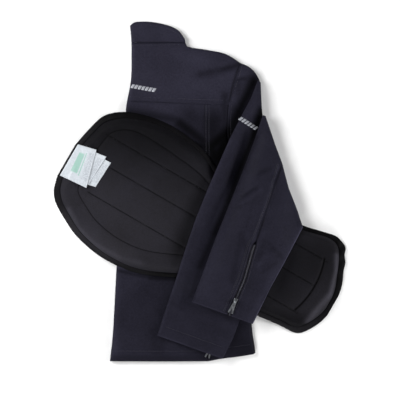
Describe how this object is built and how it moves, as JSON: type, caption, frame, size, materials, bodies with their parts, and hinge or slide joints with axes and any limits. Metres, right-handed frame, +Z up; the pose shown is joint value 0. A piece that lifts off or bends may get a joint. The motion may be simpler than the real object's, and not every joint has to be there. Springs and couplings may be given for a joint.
{
  "type": "folded equestrian jacket with back protector",
  "caption": "Softshell riding jacket folded flat along its back, sleeves folded over a quilted back protector, wrist zip with a hinged pull tab.",
  "frame": {"origin": "centre of the bounding box in plan, on the surface the jacket lies on", "axes": "+Z up out of the surface, +Y along the centre back fold towards the collar, +X from the fold towards the sleeves"},
  "size_m": [0.5829, 0.6785, 0.0477],
  "materials": {
    "softshell": "matt navy-black stretch softshell",
    "lining": "matt knit lining and folded layers",
    "quilted_foam": "brushed knit over foam, stitched channels",
    "binding_tape": "flat woven tape",
    "woven_label": "smooth satin tape",
    "zip_chain": "black coil zip on tape",
    "zip_metal": "satin silver die-cast"
  },
  "bodies": {
    "root": {"body_core": "lining", "back_yoke": "softshell", "back_centre_panel": "softshell", "back_side_panel": "softshell", "stand_collar": "softshell", "near_sleeve_cap": "softshell", "near_sleeve": "softshell", "near_zip_slider": "zip_metal", "near_zip_pull": "zip_metal", "far_sleeve_under": "softshell", "far_sleeve_front": "softshell", "far_sleeve_elbow": "softshell", "far_sleeve_zip": "zip_chain", "far_zip_slider": "zip_metal", "protector_pad": "quilted_foam", "protector_binding": "binding_tape", "label_care_lower": "woven_label", "label_care_middle": "woven_label", "label_care_top": "woven_label"},
    "pull_tab": {"far_zip_pull": "zip_metal"}
  },
  "joints": [
    {"name": "pull_tab_hinge", "type": "hinge", "parent": "root", "child": "pull_tab", "pos_m": [0.06991, -0.21718, 0.04215], "axis": [-0.9214, 0.3886, 0.0036], "range_deg": [0, 150]}
  ]
}
